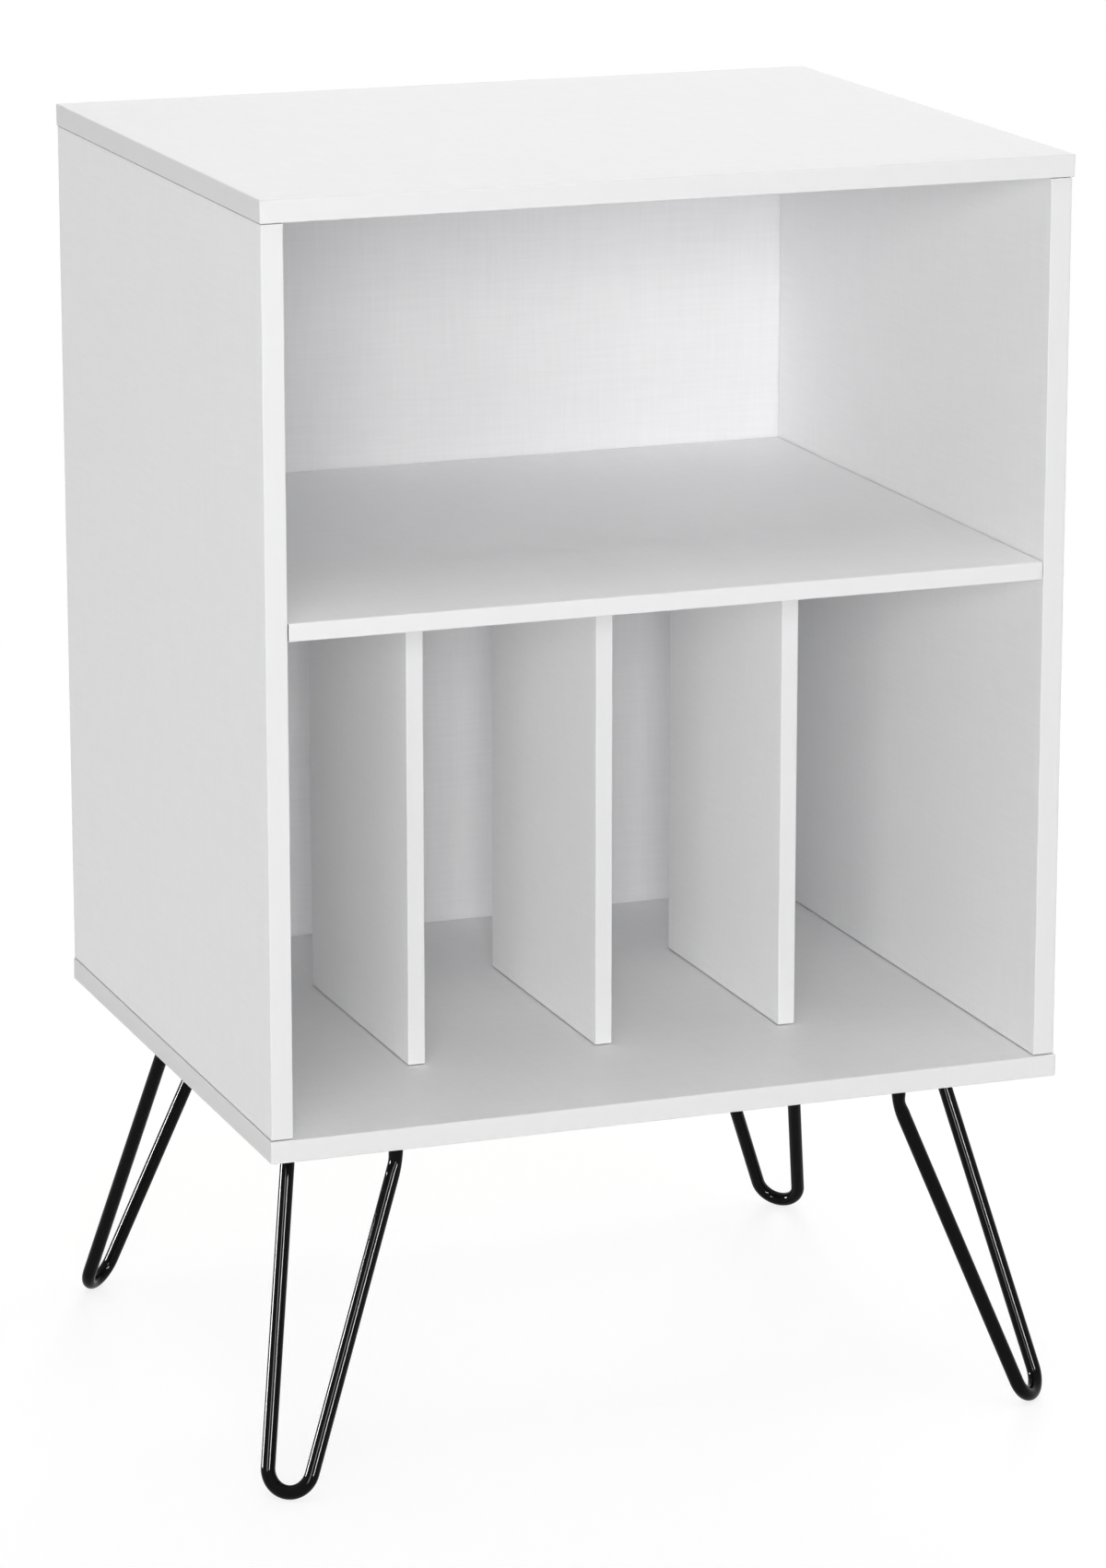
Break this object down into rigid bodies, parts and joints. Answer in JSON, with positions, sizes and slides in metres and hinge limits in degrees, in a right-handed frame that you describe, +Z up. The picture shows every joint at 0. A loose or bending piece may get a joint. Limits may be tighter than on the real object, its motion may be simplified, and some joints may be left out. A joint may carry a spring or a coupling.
{
  "type": "record player stand",
  "caption": "White open-front cabinet on black hairpin legs, with a top and shelf for a record player and upright slots below for records.",
  "frame": {"origin": "on the floor, under the middle of the stand", "axes": "+Z up, +X to the right as seen from the front, +Y from the open front towards the back panel"},
  "size_m": [0.6036, 0.5086, 0.922],
  "materials": {
    "white_laminate": "satin white laminate on particle board",
    "back_board": "white-faced thin fibreboard",
    "black_coat": "gloss black powder coat",
    "zinc_plate": "bright zinc plate",
    "cast_zinc": "dull cast zinc",
    "beech": "plain beech"
  },
  "bodies": {
    "root": {"top_panel": "white_laminate", "bottom_panel": "white_laminate", "left_side_panel": "white_laminate", "right_side_panel": "white_laminate", "shelf": "white_laminate", "left_divider": "white_laminate", "centre_divider": "white_laminate", "right_divider": "white_laminate", "back_panel": "back_board", "front_left_leg_rod": "black_coat", "front_right_leg_rod": "black_coat", "rear_left_leg_rod": "black_coat", "rear_right_leg_rod": "black_coat", "front_left_leg_plate": "black_coat", "front_right_leg_plate": "black_coat", "rear_left_leg_plate": "black_coat", "rear_right_leg_plate": "black_coat", "leg_screws": "zinc_plate", "side_screws": "zinc_plate", "divider_screws": "zinc_plate", "top_cam_locks": "cast_zinc", "top_cam_bolts": "zinc_plate", "shelf_cam_locks": "cast_zinc", "shelf_cam_bolts": "zinc_plate", "top_dowels": "beech", "bottom_dowels": "beech", "shelf_dowels": "beech", "divider_dowels": "beech", "back_nails": "zinc_plate"}
  },
  "joints": []
}
